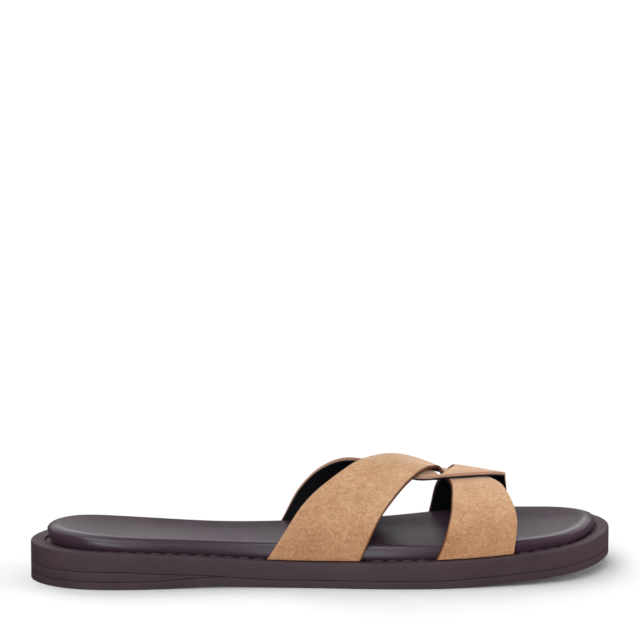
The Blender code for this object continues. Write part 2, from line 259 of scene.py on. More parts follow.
# Where a strap leans off the form, its suede goes from its own outward way to the form's
LEAN_FROM, LEAN_TO = 0.95, 0.75

# Finishes: colours are linear, depths are metres, and a noise's scale counts features in a metre.
# A stop is a share of a noise or of a way across, and the colour there.
WHITE = (1.0, 1.0, 1.0, 1.0)
# Shares of a noise that count as deep and as pale
NOISE_DEEP, NOISE_PALE = 0.30, 0.70
# Sockets for colours on a mix node, where names are shared by several sockets
MIX_FIRST, MIX_SECOND, MIX_RESULT = 6, 7, 2

# Suede: soft patches, strokes of the brush, spots, grain of the nap, and painted shade along the inner edge
SUEDE_TONE = (0.60, 0.35, 0.18, 1.0)
SUEDE_PATCHES = ((0.32, (0.575, 0.310, 0.163, 1.0)), (0.68, (0.660, 0.380, 0.213, 1.0)))
SUEDE_STROKES = ((0.32, (0.900, 0.860, 0.810, 1.0)), (0.68, (1.080, 1.110, 1.140, 1.0)))
SUEDE_SPOTS = (
    (0.32, (0.760, 0.690, 0.610, 1.0)),
    (0.52, WHITE),
    (0.70, (1.110, 1.170, 1.230, 1.0)),
)
SUEDE_GRAIN = ((0.30, (0.530, 0.450, 0.360, 1.0)), (0.56, (1.050, 1.070, 1.100, 1.0)))
SUEDE_PAINTED_EDGE_SHADE = ((0.972, WHITE), (0.994, (0.24, 0.17, 0.15, 1.0)))
STROKES_SHARE, SPOTS_SHARE, GRAIN_SHARE = 0.75, 0.75, 0.8
STROKES_STRETCH = (0.7, 1.0, 1.2)
SHEEN_TINT = (1.0, 0.94, 0.86, 1.0)

# Tint of the suede between two heights, partly its own tone and partly painted light: painted shade deeper
# by the sole, painted sheen paler up on the foot
SUEDE_HEIGHTS = (0.014, 0.052)
SUEDE_TONE_AND_PAINTED_LIGHT_BY_HEIGHT = (
    (0.05, (0.985, 0.925, 0.890, 1.0)),
    (0.37, (1.070, 1.060, 1.080, 1.0)),
    (0.58, (1.125, 1.185, 1.250, 1.0)),
    (0.82, (1.125, 1.195, 1.275, 1.0)),
    (0.96, (1.045, 1.090, 1.105, 1.0)),
)

# Cut edge of the suede, darker on its inner side with painted shade
EDGE_TONE = (0.42, 0.19, 0.12, 1.0)
EDGE_DEEP, EDGE_PALE = (0.380, 0.195, 0.125, 1.0), (0.560, 0.340, 0.240, 1.0)
CUT_EDGE_PAINTED_SHADE = ((0.40, WHITE), (0.60, (0.30, 0.20, 0.18, 1.0)))

# Lining, footbed leather, thread and rubber
LINING_TONE = (0.007, 0.007, 0.009, 1.0)
LINING_DEEP, LINING_PALE = (0.0055, 0.0055, 0.0072, 1.0), (0.0090, 0.0090, 0.0115, 1.0)
LEATHER_TONE = (0.075, 0.052, 0.065, 1.0)
LEATHER_DEEP, LEATHER_PALE = (0.053, 0.028, 0.043, 1.0), (0.063, 0.034, 0.052, 1.0)
LEATHER_GLOSS_TINT = (0.86, 0.95, 1.0, 1.0)
THREAD_TONE = (0.080, 0.057, 0.066, 1.0)
THREAD_DEEP, THREAD_PALE = (0.064, 0.045, 0.053, 1.0), (0.096, 0.070, 0.080, 1.0)
RUBBER_TONE = (0.050, 0.032, 0.039, 1.0)
OUTSOLE_TINT = (0.055, 0.034, 0.043)
HEEL_LIFT_TINT = (0.057, 0.035, 0.045)
MIDSOLE_TINT = (0.063, 0.039, 0.049)
RUBBER_DEEP_SHARE, RUBBER_PALE_SHARE = 0.86, 1.12
BUFFED_DEEP, BUFFED_PALE = 0.86, 1.08
BUFFED_SHARE = 0.6
BUFFED_STRETCH = (1.0, 1.0, 26.0)

# Camera: angles round the target, and how far it is aimed off the target to frame the shoe
CAMERA_TARGET = Vector((0.0, -0.0008, 0.03))
CAMERA_AZIMUTH = math.radians(-6.838)
CAMERA_ELEVATION = math.radians(11.836)
CAMERA_DISTANCE = 1.7
CAMERA_PITCH_UP = math.radians(2.818)
CAMERA_TURN_LEFT = math.radians(0.044)
CAMERA_VIEW_WIDTH = 0.291
CAMERA_SENSOR = 36.0

# Floor and light
FLOOR_SIZE = 30.0
FLOOR_COLOUR = (0.95, 0.95, 0.95, 1.0)
FLOOR_GLOW = 0.02
FLOOR_ROUGHNESS = 0.9
# Soft lamps: where from, strength, how wide in degrees, and whether it shows in gloss
LAMP_COLUMNS = ("lamp", "x", "y", "z", "strength", "width", "in_gloss")
LAMPS = (
    ("key", -0.28, 1.05, 0.64, 0.85, 40.0, False),
    ("top", -0.40, 0.10, 0.90, 0.54, 44.0, True),
    ("low fill", -0.30, -1.00, 0.08, 0.48, 46.0, True),
    ("left fill", -0.39, -0.87, -0.31, 0.50, 30.0, True),
    ("high fill", -0.42, -0.80, 0.72, 1.10, 44.0, True),
    ("right", 1.00, -0.10, 0.06, 2.5, 50.0, False),
)
# Brightness of the room at heights from straight down, 0, to straight up, 1: in front, and behind
# the shoe where a pale screen hangs
ROOM = (
    (0.00, 0.12),
    (0.46, 0.12),
    (0.50, 0.40),
    (0.54, 0.40),
    (0.58, 0.09),
    (0.64, 0.09),
    (0.75, 0.25),
    (1.00, 0.28),
)
ROOM_BEHIND = (
    (0.00, 0.15),
    (0.50, 0.15),
    (0.56, 0.15),
    (0.61, 0.22),
    (0.66, 0.95),
    (0.70, 1.40),
    (0.86, 1.45),
    (0.94, 0.60),
    (1.00, 0.28),
)
# Brightness of the screen from the heel end, 0, to the toe end, 1: paler to both ends
SCREEN_ACROSS = (
    (0.25, 0.60),
    (0.46, 0.95),
    (0.505, 1.10),
    (0.518, 1.75),
    (0.524, 1.50),
    (0.530, 0.85),
    (0.534, 0.72),
    (0.548, 0.70),
    (0.556, 0.52),
    (0.574, 0.18),
    (0.584, 0.70),
    (0.589, 1.45),
    (0.593, 2.20),
    (0.598, 2.60),
    (0.604, 1.50),
    (0.620, 0.85),
    (0.75, 0.60),
)
# Where the front of the room goes over into the screen, from front, 0, to behind, 1
SCREEN_STARTS = (0.50, 0.62)


# Curves and outlines


def column(table, names, name):
    """Values of one named column."""
    return np.array([row[names.index(name)] for row in table], float)


def smooth_curve(places, values):
    """Natural cubic curve through the values, held level beyond its ends."""
    places = np.asarray(places, float)
    values = np.asarray(values, float)
    count = len(places)
    step = np.diff(places)
    system = np.eye(count)
    right = np.zeros(count)
    for i in range(1, count - 1):
        system[i, i - 1] = step[i - 1]
        system[i, i] = 2.0 * (step[i - 1] + step[i])
        system[i, i + 1] = step[i]
        slope_after = (values[i + 1] - values[i]) / step[i]
        slope_before = (values[i] - values[i - 1]) / step[i - 1]
        right[i] = 6.0 * (slope_after - slope_before)
    bend = np.linalg.solve(system, right)

    def curve(place):
        place = np.clip(np.asarray(place, float), places[0], places[-1])
        i = np.clip(np.searchsorted(places, place) - 1, 0, count - 2)
        after = place - places[i]
        before = places[i + 1] - place
        cubic = (bend[i] * before**3 + bend[i + 1] * after**3) / (6.0 * step[i])
        start = (values[i] / step[i] - bend[i] * step[i] / 6.0) * before
        end = (values[i + 1] / step[i] - bend[i + 1] * step[i] / 6.0) * after
        return cubic + start + end

    return curve


def smooth_loop(corners, count):
    """Closed cubic curve through the corners, as evenly spaced points."""
    corners = np.asarray(corners, float)
    total = len(corners)
    reach = np.linalg.norm(np.roll(corners, -1, 0) - corners, axis=1)
    knots = np.concatenate([[0.0], np.cumsum(np.sqrt(reach))])
    order = np.arange(-LOOP_OVERLAP, total + LOOP_OVERLAP + 1)
    places = knots[order % total] + knots[-1] * (order // total)
    fine = np.linspace(0.0, knots[-1], total * EDGE_FINENESS)
    curves = [smooth_curve(places, corners[order % total, axis]) for axis in (0, 1)]
    dense = np.column_stack([curve(fine) for curve in curves])
    gone = np.concatenate([[0.0], np.cumsum(np.linalg.norm(np.diff(dense, axis=0), axis=1))])
    even = np.linspace(0.0, gone[-1], count, endpoint=False)
    return np.column_stack([np.interp(even, gone, dense[:, axis]) for axis in (0, 1)])


def inset_loop(loop, inset):
    """The loop moved inwards by one inset, or by an inset for each point."""
    along = np.roll(loop, -1, 0) - np.roll(loop, 1, 0)
    along = along / np.linalg.norm(along, axis=1)[:, None]
    inward = np.column_stack([-along[:, 1], along[:, 0]])
    return loop + inward * np.broadcast_to(inset, len(loop))[:, None]


def share_of(x):
    """Share along the sole at a place."""
    return x / LENGTH + 0.5


def place_of(share):
    """Place along the sole at a share."""
    return (share - 0.5) * LENGTH


def ease(t):
    """0 to 1 with level ends."""
    t = np.clip(t, 0.0, 1.0)
    return t * t * (3.0 - 2.0 * t)


SOLE_LOOP = smooth_loop(
    np.column_stack(
        [
            place_of(column(SOLE_EDGE, SOLE_EDGE_COLUMNS, "share")),
            column(SOLE_EDGE, SOLE_EDGE_COLUMNS, "across"),
        ]
    ),
    EDGE_POINTS,
)
HEIGHT_SHARES = column(HEIGHTS, HEIGHT_COLUMNS, "share")


def height_curve(name):
    """One column of the heights as a curve of the share."""
    return smooth_curve(HEIGHT_SHARES, column(HEIGHTS, HEIGHT_COLUMNS, name))


ledge_height = height_curve("ledge")
crest_height = height_curve("crest")
top_swell = height_curve("swell")
inner_drop = height_curve("drop")
roll_width = height_curve("roll")
side_inset = height_curve("side")
side_tuck = height_curve("tuck")
crown_height = smooth_curve(
    column(CROWN, CROWN_COLUMNS, "share"), column(CROWN, CROWN_COLUMNS, "height")
)


def side_edges(inset):
    """Across position of the inset sole edge on the outer and the inner side, as curves of X."""
    loop = inset_loop(SOLE_LOOP, inset)
    toe = int(np.argmax(loop[:, 0]))
    outer = loop[1:toe]
    inner = loop[toe:][::-1]

    def edges(x):
        return np.interp(x, outer[:, 0], outer[:, 1]), np.interp(x, inner[:, 0], inner[:, 1])

    return edges


def ground_height(share):
    """Underside of the outsole above the floor."""
    arch = np.clip(1.0 - np.abs(share - ARCH_CENTRE) / ARCH_HALF_LENGTH, 0.0, 1.0)
    toe = np.clip((share - TOE_SPRING_START) / (1.0 - TOE_SPRING_START), 0.0, 1.0)
    return ARCH_RISE * ease(arch) + TOE_SPRING * toe**TOE_SPRING_POWER


def outsole_top(share):
    """Top of the outsole."""
    return ground_height(share) + OUTSOLE_THICK


def wedge_top(share):
    """Underside of the midsole: over the wedge at the heel, over the outsole in front."""
    fall = ease((share - WEDGE_LEVEL_END) / (WEDGE_FRONT - WEDGE_LEVEL_END))
    return outsole_top(share) + SEAM_GAP + WEDGE_HEIGHT * (1.0 - fall)


def lift_top(share):
    """Top of the heel lift, a seam below the midsole."""
    return wedge_top(share) - SEAM_GAP


def lift_bottom(share):
    """Underside of the heel lift."""
    return outsole_top(share) + SEAM_GAP


def side_spare(share):
    """How much further in the footbed's side stands than at the waist."""
    return side_inset(share) - CHANNEL_WAIST_SIDE


def channel_width(share):
    """Width of the channel, wider at heel and toe."""
    return CHANNEL_WIDTH + side_spare(share) * CHANNEL_SPARE


def channel_floor(share):
    """Floor of the channel under the ledge."""
    return ledge_height(share) - CHANNEL_DEPTH


def footbed_seat(share):
    """Underside of the footbed."""
    return channel_floor(share) + FOOTBED_GAP


# Mesh tools


def ring(inset, height):
    """Points on the sole's outline at an inset, with their heights from a curve of the share."""
    loop = inset_loop(SOLE_LOOP, inset)
    return np.column_stack([loop, height(share_of(loop[:, 0]))])


def vertices_of(parts):
    """The vertices among mixed parts of a mesh."""
    return [part for part in parts if isinstance(part, bmesh.types.BMVert)]


def edges_of(parts):
    """The edges among mixed parts of a mesh."""
    return [part for part in parts if isinstance(part, bmesh.types.BMEdge)]


def start_rim(points):
    """New mesh with one closed rim of edges; each vertex keeps its number on the rim."""
    bm = bmesh.new()
    number = bm.verts.layers.int.new("number")
    bmesh.ops.create_circle(bm, segments=len(points), radius=1.0)
    for i, vertex in enumerate(bm.verts):
        vertex[number] = i
        vertex.co = points[i]
    return bm, bm.edges[:]


def grow_rim(bm, rim, points):
    """Extrude the rim and lay the new rim on the next ring of points."""
    number = bm.verts.layers.int["number"]
    made = bmesh.ops.extrude_edge_only(bm, edges=rim)["geom"]
    new = vertices_of(made)
    for vertex in new:
        vertex.co = points[vertex[number]]
    new = set(new)
    return [edge for edge in edges_of(made) if new.issuperset(edge.verts)]


def close_rim(bm, rim, height):
    """Close a rim with strips from one side of the shoe to the other, cut and laid on a height."""
    number = bm.verts.layers.int["number"]
    half = len(rim) // 2

    def on_a_side(edge):
        numbers = sorted(vertex[number] for vertex in edge.verts)
        outer = 1 <= numbers[0] and numbers[1] <= half - 1
        inner = half + 1 <= numbers[0] and numbers[1] <= 2 * half - 1
        return outer or inner

    sides = [edge for edge in rim if on_a_side(edge)]
    across = edges_of(bmesh.ops.bridge_loops(bm, edges=sides)["edges"])
    ends = [edge for edge in rim + across if edge.is_boundary]
    bmesh.ops.holes_fill(bm, edges=ends, sides=3)
    cut = bmesh.ops.subdivide_edges(bm, edges=across, cuts=STRIP_CUTS, use_grid_fill=True)
    for vertex in vertices_of(cut["geom_inner"]):
        vertex.co.z = height(share_of(vertex.co.x))


def round_edges(bm, edges, radius, segments=SEAM_SEGMENTS):
    """Round the edges that are still there."""
    edges = [edge for edge in edges if edge.is_valid]
    bmesh.ops.bevel(
        bm,
        geom=edges,
        offset=radius,
        affect="EDGES",
        segments=segments,
        profile=0.5,
        material=-1,
        clamp_overlap=True,
    )


def add_piece(name, bm, materials, closed=True):
    """Turn the mesh into a smooth piece that rides on the shoe."""
    if closed:
        bmesh.ops.remove_doubles(bm, verts=bm.verts[:], dist=MERGE_DISTANCE)
        bmesh.ops.recalc_face_normals(bm, faces=bm.faces[:])
    mesh = bpy.data.meshes.new(name)
    bm.to_mesh(mesh)
    bm.free()
    mesh.shade_smooth()
    mesh.set_sharp_from_angle(angle=SHARP_ANGLE)
    for material in materials:
        mesh.materials.append(material)
    piece = bpy.data.objects.new(name, mesh)
    bpy.context.scene.collection.objects.link(piece)
    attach(piece, "root")
    return piece


# Pieces


def sole_layer(name, low, high, low_rounding, high_rounding, material, front=None):
    """One layer of the sole unit between two height curves, with its rims rounded."""
    bm, low_rim = start_rim(ring(0.0, low))
    high_rim = grow_rim(bm, low_rim, ring(0.0, high))
    close_rim(bm, low_rim, low)
    close_rim(bm, high_rim, high)
    if front is not None:
        cut = bmesh.ops.bisect_plane(
            bm,
            geom=bm.verts[:] + bm.edges[:] + bm.faces[:],
            plane_co=(place_of(front), 0.0, 0.0),
            plane_no=(1.0, 0.0, 0.0),
            clear_outer=True,
        )
        bmesh.ops.contextual_create(bm, geom=edges_of(cut["geom_cut"]))
    round_edges(bm, low_rim, low_rounding)
    round_edges(bm, high_rim, high_rounding)
    piece = add_piece(name + "_rubber", bm, [material])
    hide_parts(name)


def channelled_midsole(material):
    """Midsole: side wall, ledge with a rounded edge, and the channel that the footbed stands in."""
    bm, low_rim = start_rim(ring(0.0, wedge_top))
    close_rim(bm, low_rim, wedge_top)
    shares = share_of(SOLE_LOOP[:, 0])
    side = side_inset(shares)
    lip_inset = side - channel_width(shares)
    edge = grow_rim(bm, low_rim, ring(0.0, ledge_height))
    lip = grow_rim(bm, edge, ring(lip_inset, ledge_height))
    wall = grow_rim(bm, lip, ring(lip_inset + CHANNEL_SLANT, channel_floor))
    floor = grow_rim(bm, wall, ring(side + CHANNEL_UNDER, channel_floor))
    close_rim(bm, floor, channel_floor)
    round_edges(bm, low_rim, SEAM_ROUNDING)
    round_edges(bm, edge, LEDGE_ROUNDING, LEDGE_SEGMENTS)
    round_edges(bm, lip, LIP_ROUNDING)
    piece = add_piece("midsole_rubber", bm, [material])
    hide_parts("midsole")


def under_a_strap(share, across):
    """Whether a place on the ledge is at a strap's foot."""
    table = OUTER_SIDE_STRAP if across < 0.0 else INNER_SIDE_STRAP
    for row in (table[0], table[-1]):
        foot = dict(zip(STRAP_COLUMNS, row))
        low, high = sorted((foot["outer_share"], foot["inner_share"]))
        if low - STITCH_CLEARANCE < share < high + STITCH_CLEARANCE:
            return True
    return False


def stitch_place(x, y, ahead):
    """Place, turn and size of one stitch that lies in the channel and follows its slope."""
    share = share_of(x)
    height = float(ledge_height(share))
    slope = (ledge_height(share + SLOPE_STEP) - ledge_height(share)) / (SLOPE_STEP * LENGTH)
    turn = math.atan2(ahead[1], ahead[0]) + STITCH_SLANT
    tilt = -math.atan(float(slope) * math.cos(turn))
    rise = STITCH_RISE - STITCH_SINK * float(side_spare(share))
    place = Matrix.Translation((x, y, height + rise))
    turned = Matrix.Rotation(turn, 4, "Z") @ Matrix.Rotation(tilt, 4, "Y")
    size = Matrix.Diagonal((STITCH_LENGTH / 2.0, STITCH_WIDTH / 2.0, STITCH_WIDTH / 2.0, 1.0))
    return place @ turned @ size


def welt_stitches(material):
    """Thread lying in the channel round the footbed, one long stitch after another."""
    shares = share_of(SOLE_LOOP[:, 0])
    loop = inset_loop(SOLE_LOOP, side_inset(shares) - channel_width(shares) * STITCH_PLACE)
    ahead = np.roll(loop, -1, 0) - loop
    gone = np.concatenate([[0.0], np.cumsum(np.linalg.norm(ahead, axis=1))])
    count = int(gone[-1] / STITCH_PITCH)
    bm = bmesh.new()
    for at in np.linspace(0.0, gone[-1], count, endpoint=False):
        i = min(int(np.searchsorted(gone, at, "right")) - 1, len(loop) - 1)
        x, y = loop[i] + ahead[i] * (at - gone[i]) / np.linalg.norm(ahead[i])
        share = share_of(x)
        if not STITCHED_FROM < share < STITCHED_TO or under_a_strap(share, y):
            continue
        bmesh.ops.create_uvsphere(
            bm,
            u_segments=STITCH_FACES_ROUND,
            v_segments=STITCH_FACES_ALONG,
            radius=1.0,
            matrix=stitch_place(x, y, ahead[i]),
        )
    piece = add_piece("welt_stitches", bm, [material])


def swell_top(bm, edge_count, crest_inset):
    """Swell the top, which is all past the vertices of the edge, and let the inner edge down."""
    loop = inset_loop(SOLE_LOOP, crest_inset)
    back = loop[:, 0].min()
    front = loop[:, 0].max()
    edges = side_edges(crest_inset)
    for number, vertex in enumerate(bm.verts):
        x, y, z = vertex.co
        share = share_of(x)
        seat = footbed_seat(share)
        rise = ease((z - seat) / (crest_height(share) - seat))
        if number >= edge_count:
            outer, inner = edges(x)
            across = np.clip((2.0 * y - outer - inner) / (inner - outer), -1.0, 1.0)
            along = np.clip((2.0 * x - back - front) / (front - back), -1.0, 1.0)
            z += top_swell(share) * (1.0 - across**2) * (1.0 - along**SWELL_POWER)
        vertex.co.z = z - inner_drop(share) * rise * ease((y - DROP_FROM) / (DROP_TO - DROP_FROM))


def footbed_height(rise):
    """Height curve of a ring on the footbed's edge, at a share of the way up to the crest."""

    def height(share):
        return footbed_seat(share) + (crest_height(share) - footbed_seat(share)) * rise

    return height


def leather_footbed(material):
    """Footbed wrapped in leather: tucked-in underside, rolled edge, softly swelling top."""
    shares = share_of(SOLE_LOOP[:, 0])
    roll = roll_width(shares)
    side = side_inset(shares)
    tuck = side_tuck(shares)
    rings = [
        ring(side + inset + tuck * tuck_share + roll * roll_share, footbed_height(rise))
        for inset, tuck_share, roll_share, rise in FOOTBED_EDGE
    ]
    bm, rim = start_rim(rings[0])
    close_rim(bm, rim, footbed_seat)
    for points in rings[1:]:
        rim = grow_rim(bm, rim, points)
    crest_inset = side + roll
    edge_count = len(bm.verts)
    for inset in TOP_RINGS:
        rim = grow_rim(bm, rim, ring(crest_inset + inset, crest_height))
    close_rim(bm, rim, crest_height)
    swell_top(bm, edge_count, crest_inset)
    piece = add_piece("footbed_leather", bm, [material])
    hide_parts("footbed")


def form_section(share, edges):
    """One section across the foot form, evenly from the outer foot over the crown to the inner."""
    x = place_of(share)
    outer, inner = edges(x)
    base = float(ledge_height(share)) + STRAP_FOOT_GAP
    rise = float(crown_height(share)) - base
    turn = np.linspace(0.0, np.pi, FORM_SECTION_POINTS)
    power = 2.0 / FOOT_ROUNDNESS
    reach = np.where(turn < np.pi / 2.0, CROWN_ACROSS - outer, inner - CROWN_ACROSS)
    across = CROWN_ACROSS - np.sign(np.cos(turn)) * reach * np.abs(np.cos(turn)) ** power
    height = base + rise * np.abs(np.sin(turn)) ** power
    gone = np.concatenate([[0.0], np.cumsum(np.hypot(np.diff(across), np.diff(height)))])
    crown = gone[len(turn) // 2]
    side_length = np.where(gone < crown, crown, gone[-1] - crown)
    height_shares = (gone - crown) / side_length
    even = np.linspace(-1.0, 1.0, FORM_STEPS)
    y = np.interp(even, height_shares, across)
    z = np.interp(even, height_shares, height)
    return np.column_stack([np.full(FORM_STEPS, x), y, z])


def foot_form():
    """The foot form as a grid of points and of directions out of it."""
    edges = side_edges(STRAP_INSET)
    shares = np.linspace(FORM_START, FORM_END, FORM_STATIONS)
    points = np.array([form_section(share, edges) for share in shares])
    out = np.cross(np.gradient(points, axis=0), np.gradient(points, axis=1))
    return points, out / np.linalg.norm(out, axis=2)[:, :, None]


FORM_POINTS, FORM_OUT = foot_form()


def on_form(grid, share, height_share):
    """Values of a form grid at places given by share and height share."""
    i = (share - FORM_START) / (FORM_END - FORM_START) * (FORM_STATIONS - 1)
    j = (height_share + 1.0) / 2.0 * (FORM_STEPS - 1)
    i0 = np.clip(i.astype(int), 0, FORM_STATIONS - 2)
    j0 = np.clip(j.astype(int), 0, FORM_STEPS - 2)
    u = (i - i0)[:, None]
    v = (j - j0)[:, None]
    near = grid[i0, j0] * (1.0 - u) + grid[i0 + 1, j0] * u
    far = grid[i0, j0 + 1] * (1.0 - u) + grid[i0 + 1, j0 + 1] * u
    return near * (1.0 - v) + far * v


def fold_rise(side, points):
    """How far the creases of one strap lift its points off the form."""
    rise = np.zeros(len(points))
    for row in FOLDS:
        fold = dict(zip(FOLD_COLUMNS, row))
        if fold["strap"] != side:
            continue
        shares = np.array([fold["from_share"], fold["to_share"]])
        heights = np.array([fold["from_height"], fold["to_height"]])
        start, end = on_form(FORM_POINTS, shares, heights)
        line = end - start
        along = np.clip((points - start) @ line / (line @ line), 0.0, 1.0)
        away = np.linalg.norm(points - start - along[:, None] * line, axis=1)
        rise += fold["rise"] * np.exp(-((away / fold["width"]) ** 2))
    return rise


def strap_places(side, table, along, across):
    """A strap's points laid on the foot form, lifted and creased, and the ways out of the form."""
    steps = np.arange(len(table))

    def between(key):
        outer = smooth_curve(steps, column(table, STRAP_COLUMNS, "outer_" + key))(along)
        inner = smooth_curve(steps, column(table, STRAP_COLUMNS, "inner_" + key))(along)
        return outer + (inner - outer) * across

    share = between("share")
    height_share = np.clip(between("height"), -1.0, 1.0)
    laid = on_form(FORM_POINTS, share, height_share)
    out = on_form(FORM_OUT, share, height_share)
    rise = np.maximum(between("lift"), 0.0) + fold_rise(side, laid)
    return laid + out * rise[:, None], out


def raise_layer(bm, out, level):
    """Turn a strap's faces outwards and move it off the foot form to its level."""
    bm.normal_update()
    if sum(face.normal.dot(Vector(out[face.verts[0].index])) for face in bm.faces) < 0.0:
        bmesh.ops.reverse_faces(bm, faces=bm.faces[:])
        bm.normal_update()
    for vertex in bm.verts:
        form_out = Vector(out[vertex.index])
        lean = float(ease((LEAN_FROM - vertex.normal.dot(form_out)) / (LEAN_FROM - LEAN_TO)))
        vertex.co += vertex.normal.lerp(form_out, lean).normalized() * level


def give_wall(piece, thickness, rim_finish):
    """Thickness outwards, a rim with its own finish, and rounded cut edges."""
    wall = piece.modifiers.new("wall", "SOLIDIFY")
    wall.thickness = thickness
    wall.offset = 1.0
    wall.material_offset_rim = rim_finish
    cut = piece.modifiers.new("cut edge", "BEVEL")
    cut.width = CUT_ROUNDING
    cut.segments = CUT_SEGMENTS
    cut.limit_method = "ANGLE"
    cut.angle_limit = SHARP_ANGLE


def strap_layer(name, side, table, level, thickness, materials):
    """One layer of a strap: a grid laid on the foot form at a level, then given its thickness."""
    bm = bmesh.new()
    bmesh.ops.create_grid(
        bm, x_segments=STRAP_STEPS_ALONG, y_segments=STRAP_STEPS_ACROSS, size=GRID_HALF
    )
    flat = np.array([vertex.co for vertex in bm.verts])
    along = (flat[:, 0] + GRID_HALF) * (len(table) - 1)
    across = flat[:, 1] + GRID_HALF
    laid, out = strap_places(side, table, along, across)
    for vertex, point in zip(bm.verts, laid):
        vertex.co = point
    raise_layer(bm, out, level)
    piece = add_piece(name, bm, materials, closed=False)
    mark = piece.data.attributes.new("across", "FLOAT", "POINT")
    mark.data.foreach_set("value", across.astype(np.float32))
    give_wall(piece, thickness, len(materials) - 1)
    return piece


def strap(side, table, suede, cut_edge, lining):
    """A strap: smooth lining against the foot, suede over it."""
    strap_layer(side + "_strap_lining", side, table, 0.0, LINING_THICK, [lining])
    level = LINING_THICK + LAYER_GAP
    finishes = [suede, cut_edge]
    suede_piece = strap_layer(side + "_strap_suede", side, table, level, SUEDE_THICK, finishes)
    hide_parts("upper")


# Finishes


def set_inputs(node, values):
    """Constant values on a node's own sockets, by their names."""
    for name, value in values.items():
        node.inputs[name].default_value = value


def new_finish(name, colour, roughness):
    """Material with its shader, ready for more nodes."""
    material = bpy.data.materials.new(name)
    material.use_nodes = True
    shader = material.node_tree.nodes["Principled BSDF"]
    set_inputs(shader, {"Base Color": colour, "Roughness": roughness})
    return material, shader


def add_node(material, kind, **settings):
    """New node with its settings given by name."""
    node = material.node_tree.nodes.new(kind)
    for name, value in settings.items():
        setattr(node, name, value)
    return node


def link(material, source, target):
    """Join two sockets."""
    material.node_tree.links.new(source, target)


def own_place(material):
    """Place on the piece in its own coordinates."""
    return add_node(material, "ShaderNodeTexCoord").outputs["Object"]


def axes_of(material, place):
    """A place taken apart into X, Y and Z."""
    node = add_node(material, "ShaderNodeSeparateXYZ")
    link(material, place, node.inputs["Vector"])
    return node.outputs


def across_strap(material):
    """Way across a strap, 0 at its outer edge and 1 at its inner edge."""
    return add_node(material, "ShaderNodeAttribute", attribute_name="across").outputs["Fac"]


def noise(material, scale, detail=3.0, roughness=0.5, stretch=(1.0, 1.0, 1.0)):
    """Noise over the piece's own coordinates."""
    mapping = add_node(material, "ShaderNodeMapping")
    set_inputs(mapping, {"Scale": stretch})
    texture = add_node(material, "ShaderNodeTexNoise")
    set_inputs(texture, {"Scale": scale, "Detail": detail, "Roughness": roughness})
    link(material, own_place(material), mapping.inputs["Vector"])
    link(material, mapping.outputs["Vector"], texture.inputs["Vector"])
    return texture.outputs["Fac"]


def cells(material, scale):
    """Pebbled cells over the piece's own coordinates."""
    texture = add_node(material, "ShaderNodeTexVoronoi")
    set_inputs(texture, {"Scale": scale})
    link(material, own_place(material), texture.inputs["Vector"])
    return texture.outputs["Distance"]


def ramp(material, factor, stops):
    """Colour ramp; each stop is a position and a colour."""
    node = add_node(material, "ShaderNodeValToRGB")
    elements = node.color_ramp.elements
    while len(elements) < len(stops):
        elements.new(0.5)  # in the middle until it gets its own position
    for element, (position, colour) in zip(elements, stops):
        element.position = position
        element.color = colour
    link(material, factor, node.inputs["Fac"])
    return node.outputs["Color"]


def two_tone(material, factor, deep, pale):
    """Colour that goes from deep to pale with a noise."""
    return ramp(material, factor, ((NOISE_DEEP, deep), (NOISE_PALE, pale)))


def spread(material, factor, low, high, to_low=0.0, to_high=1.0):
    """Map a value from one range to another."""
    node = add_node(material, "ShaderNodeMapRange")
    ranges = {"From Min": low, "From Max": high, "To Min": to_low, "To Max": to_high}
    set_inputs(node, ranges)
    link(material, factor, node.inputs["Value"])
    return node.outputs["Result"]


def uneven_gloss(material, shader, factor, smooth, rough):
    """Roughness that wanders with a noise."""
    roughness = spread(material, factor, NOISE_DEEP, NOISE_PALE, smooth, rough)
    link(material, roughness, shader.inputs["Roughness"])


def blend(material, kind, factor, first, second):
    """Mix two colours; the factor is a number or a socket."""
    node = add_node(material, "ShaderNodeMix", data_type="RGBA", blend_type=kind)
    if isinstance(factor, float):
        set_inputs(node, {"Factor": factor})
    else:
        link(material, factor, node.inputs["Factor"])
    link(material, first, node.inputs[MIX_FIRST])
    link(material, second, node.inputs[MIX_SECOND])
    return node.outputs[MIX_RESULT]


def tinted(material, colour, tint, share=1.0):
    """A colour multiplied by a tint, in full or by a share."""
    return blend(material, "MULTIPLY", share, colour, tint)


def bump(material, shader, height, depth, strength):
    """Add relief to the shader, over the relief that it already has."""
    node = add_node(material, "ShaderNodeBump")
    set_inputs(node, {"Distance": depth, "Strength": strength})
    link(material, height, node.inputs["Height"])
    normal = shader.inputs["Normal"]
    if normal.is_linked:
        link(material, normal.links[0].from_socket, node.inputs["Normal"])
    link(material, node.outputs["Normal"], normal)


def grey(value):
    """Neutral colour of a brightness."""
    return (value, value, value, 1.0)


def greys(stops):
    """Stops of brightness as stops of neutral colour."""
    return [(place, grey(value)) for place, value in stops]


